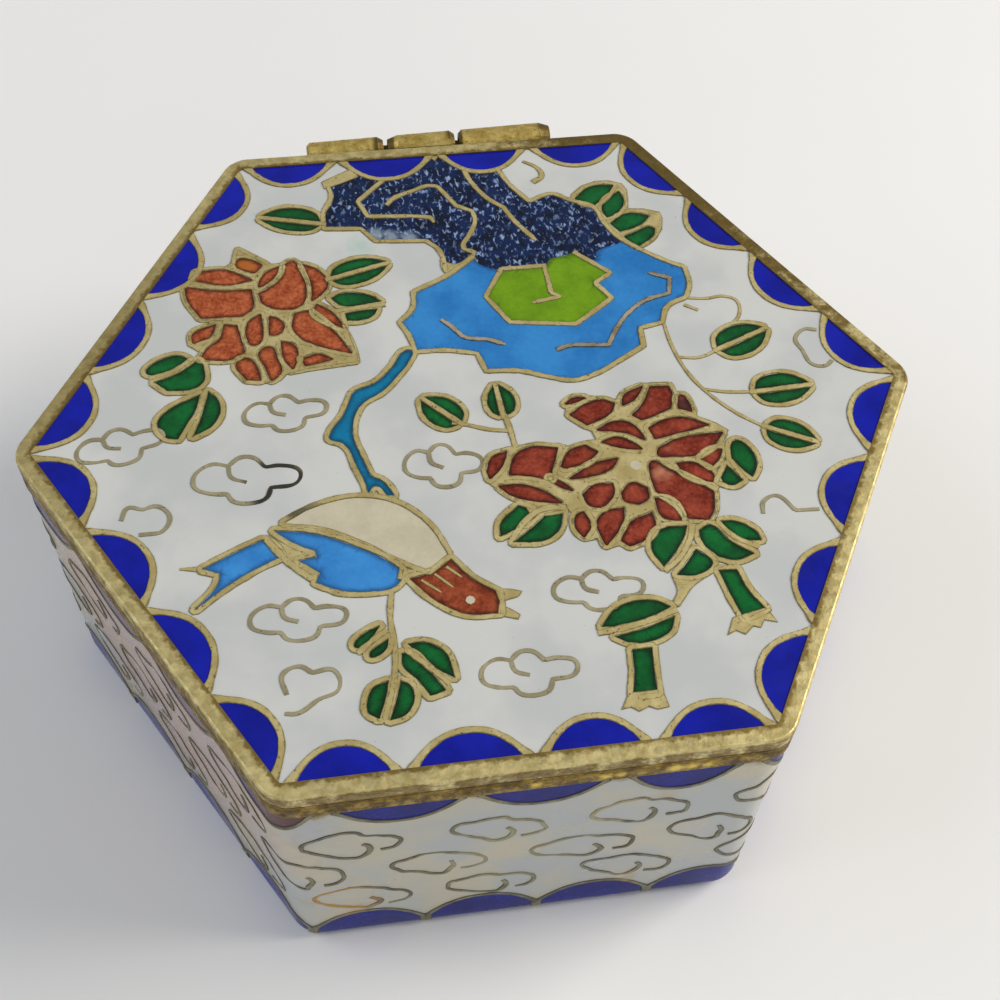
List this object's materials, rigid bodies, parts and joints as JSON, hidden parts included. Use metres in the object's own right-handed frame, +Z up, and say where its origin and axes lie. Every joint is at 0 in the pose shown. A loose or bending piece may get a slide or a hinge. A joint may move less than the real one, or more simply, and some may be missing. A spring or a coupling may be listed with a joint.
{
  "type": "cloisonne enamel box",
  "caption": "Hexagonal trinket box in cloisonne enamel with brass rims; its flat lid swings up on a rear hinge to open the hollow inside.",
  "frame": {"origin": "middle of the underside, on the surface that the box stands on", "axes": "+Z up; +X from corner to corner, along the hinge; +Y towards the hinge, so the front side faces -Y"},
  "size_m": [0.0692, 0.0638, 0.0277],
  "materials": {
    "white_enamel": "glossy white vitreous enamel on copper",
    "rim_brass": "polished and tarnished brass",
    "hinge_brass": "filed and tarnished brass",
    "wire_brass": "brass cloison wire ground flush with the enamel",
    "royal_blue_enamel": "glossy vitreous enamel",
    "green_enamel": "glossy vitreous enamel",
    "sky_enamel": "glossy vitreous enamel",
    "lime_enamel": "glossy vitreous enamel",
    "rust_enamel": "glossy vitreous enamel",
    "cream_enamel": "glossy vitreous enamel",
    "speckled_enamel": "navy vitreous enamel with pale blue flecks",
    "inner_enamel": "plain blue counter-enamel"
  },
  "bodies": {
    "base": {"body": "white_enamel", "base_rim": "rim_brass", "hinge_knuckle_left": "hinge_brass", "hinge_knuckle_right": "hinge_brass", "hinge_pin": "hinge_brass"},
    "lid": {"lid_plate": "white_enamel", "lid_rim": "rim_brass", "hinge_knuckle_middle": "hinge_brass"}
  },
  "joints": [
    {"name": "lid_hinge", "type": "hinge", "parent": "base", "child": "lid", "pos_m": [0, 0.03206, 0.02605], "axis": [-1, 0, 0], "range_deg": [0, 105]}
  ]
}
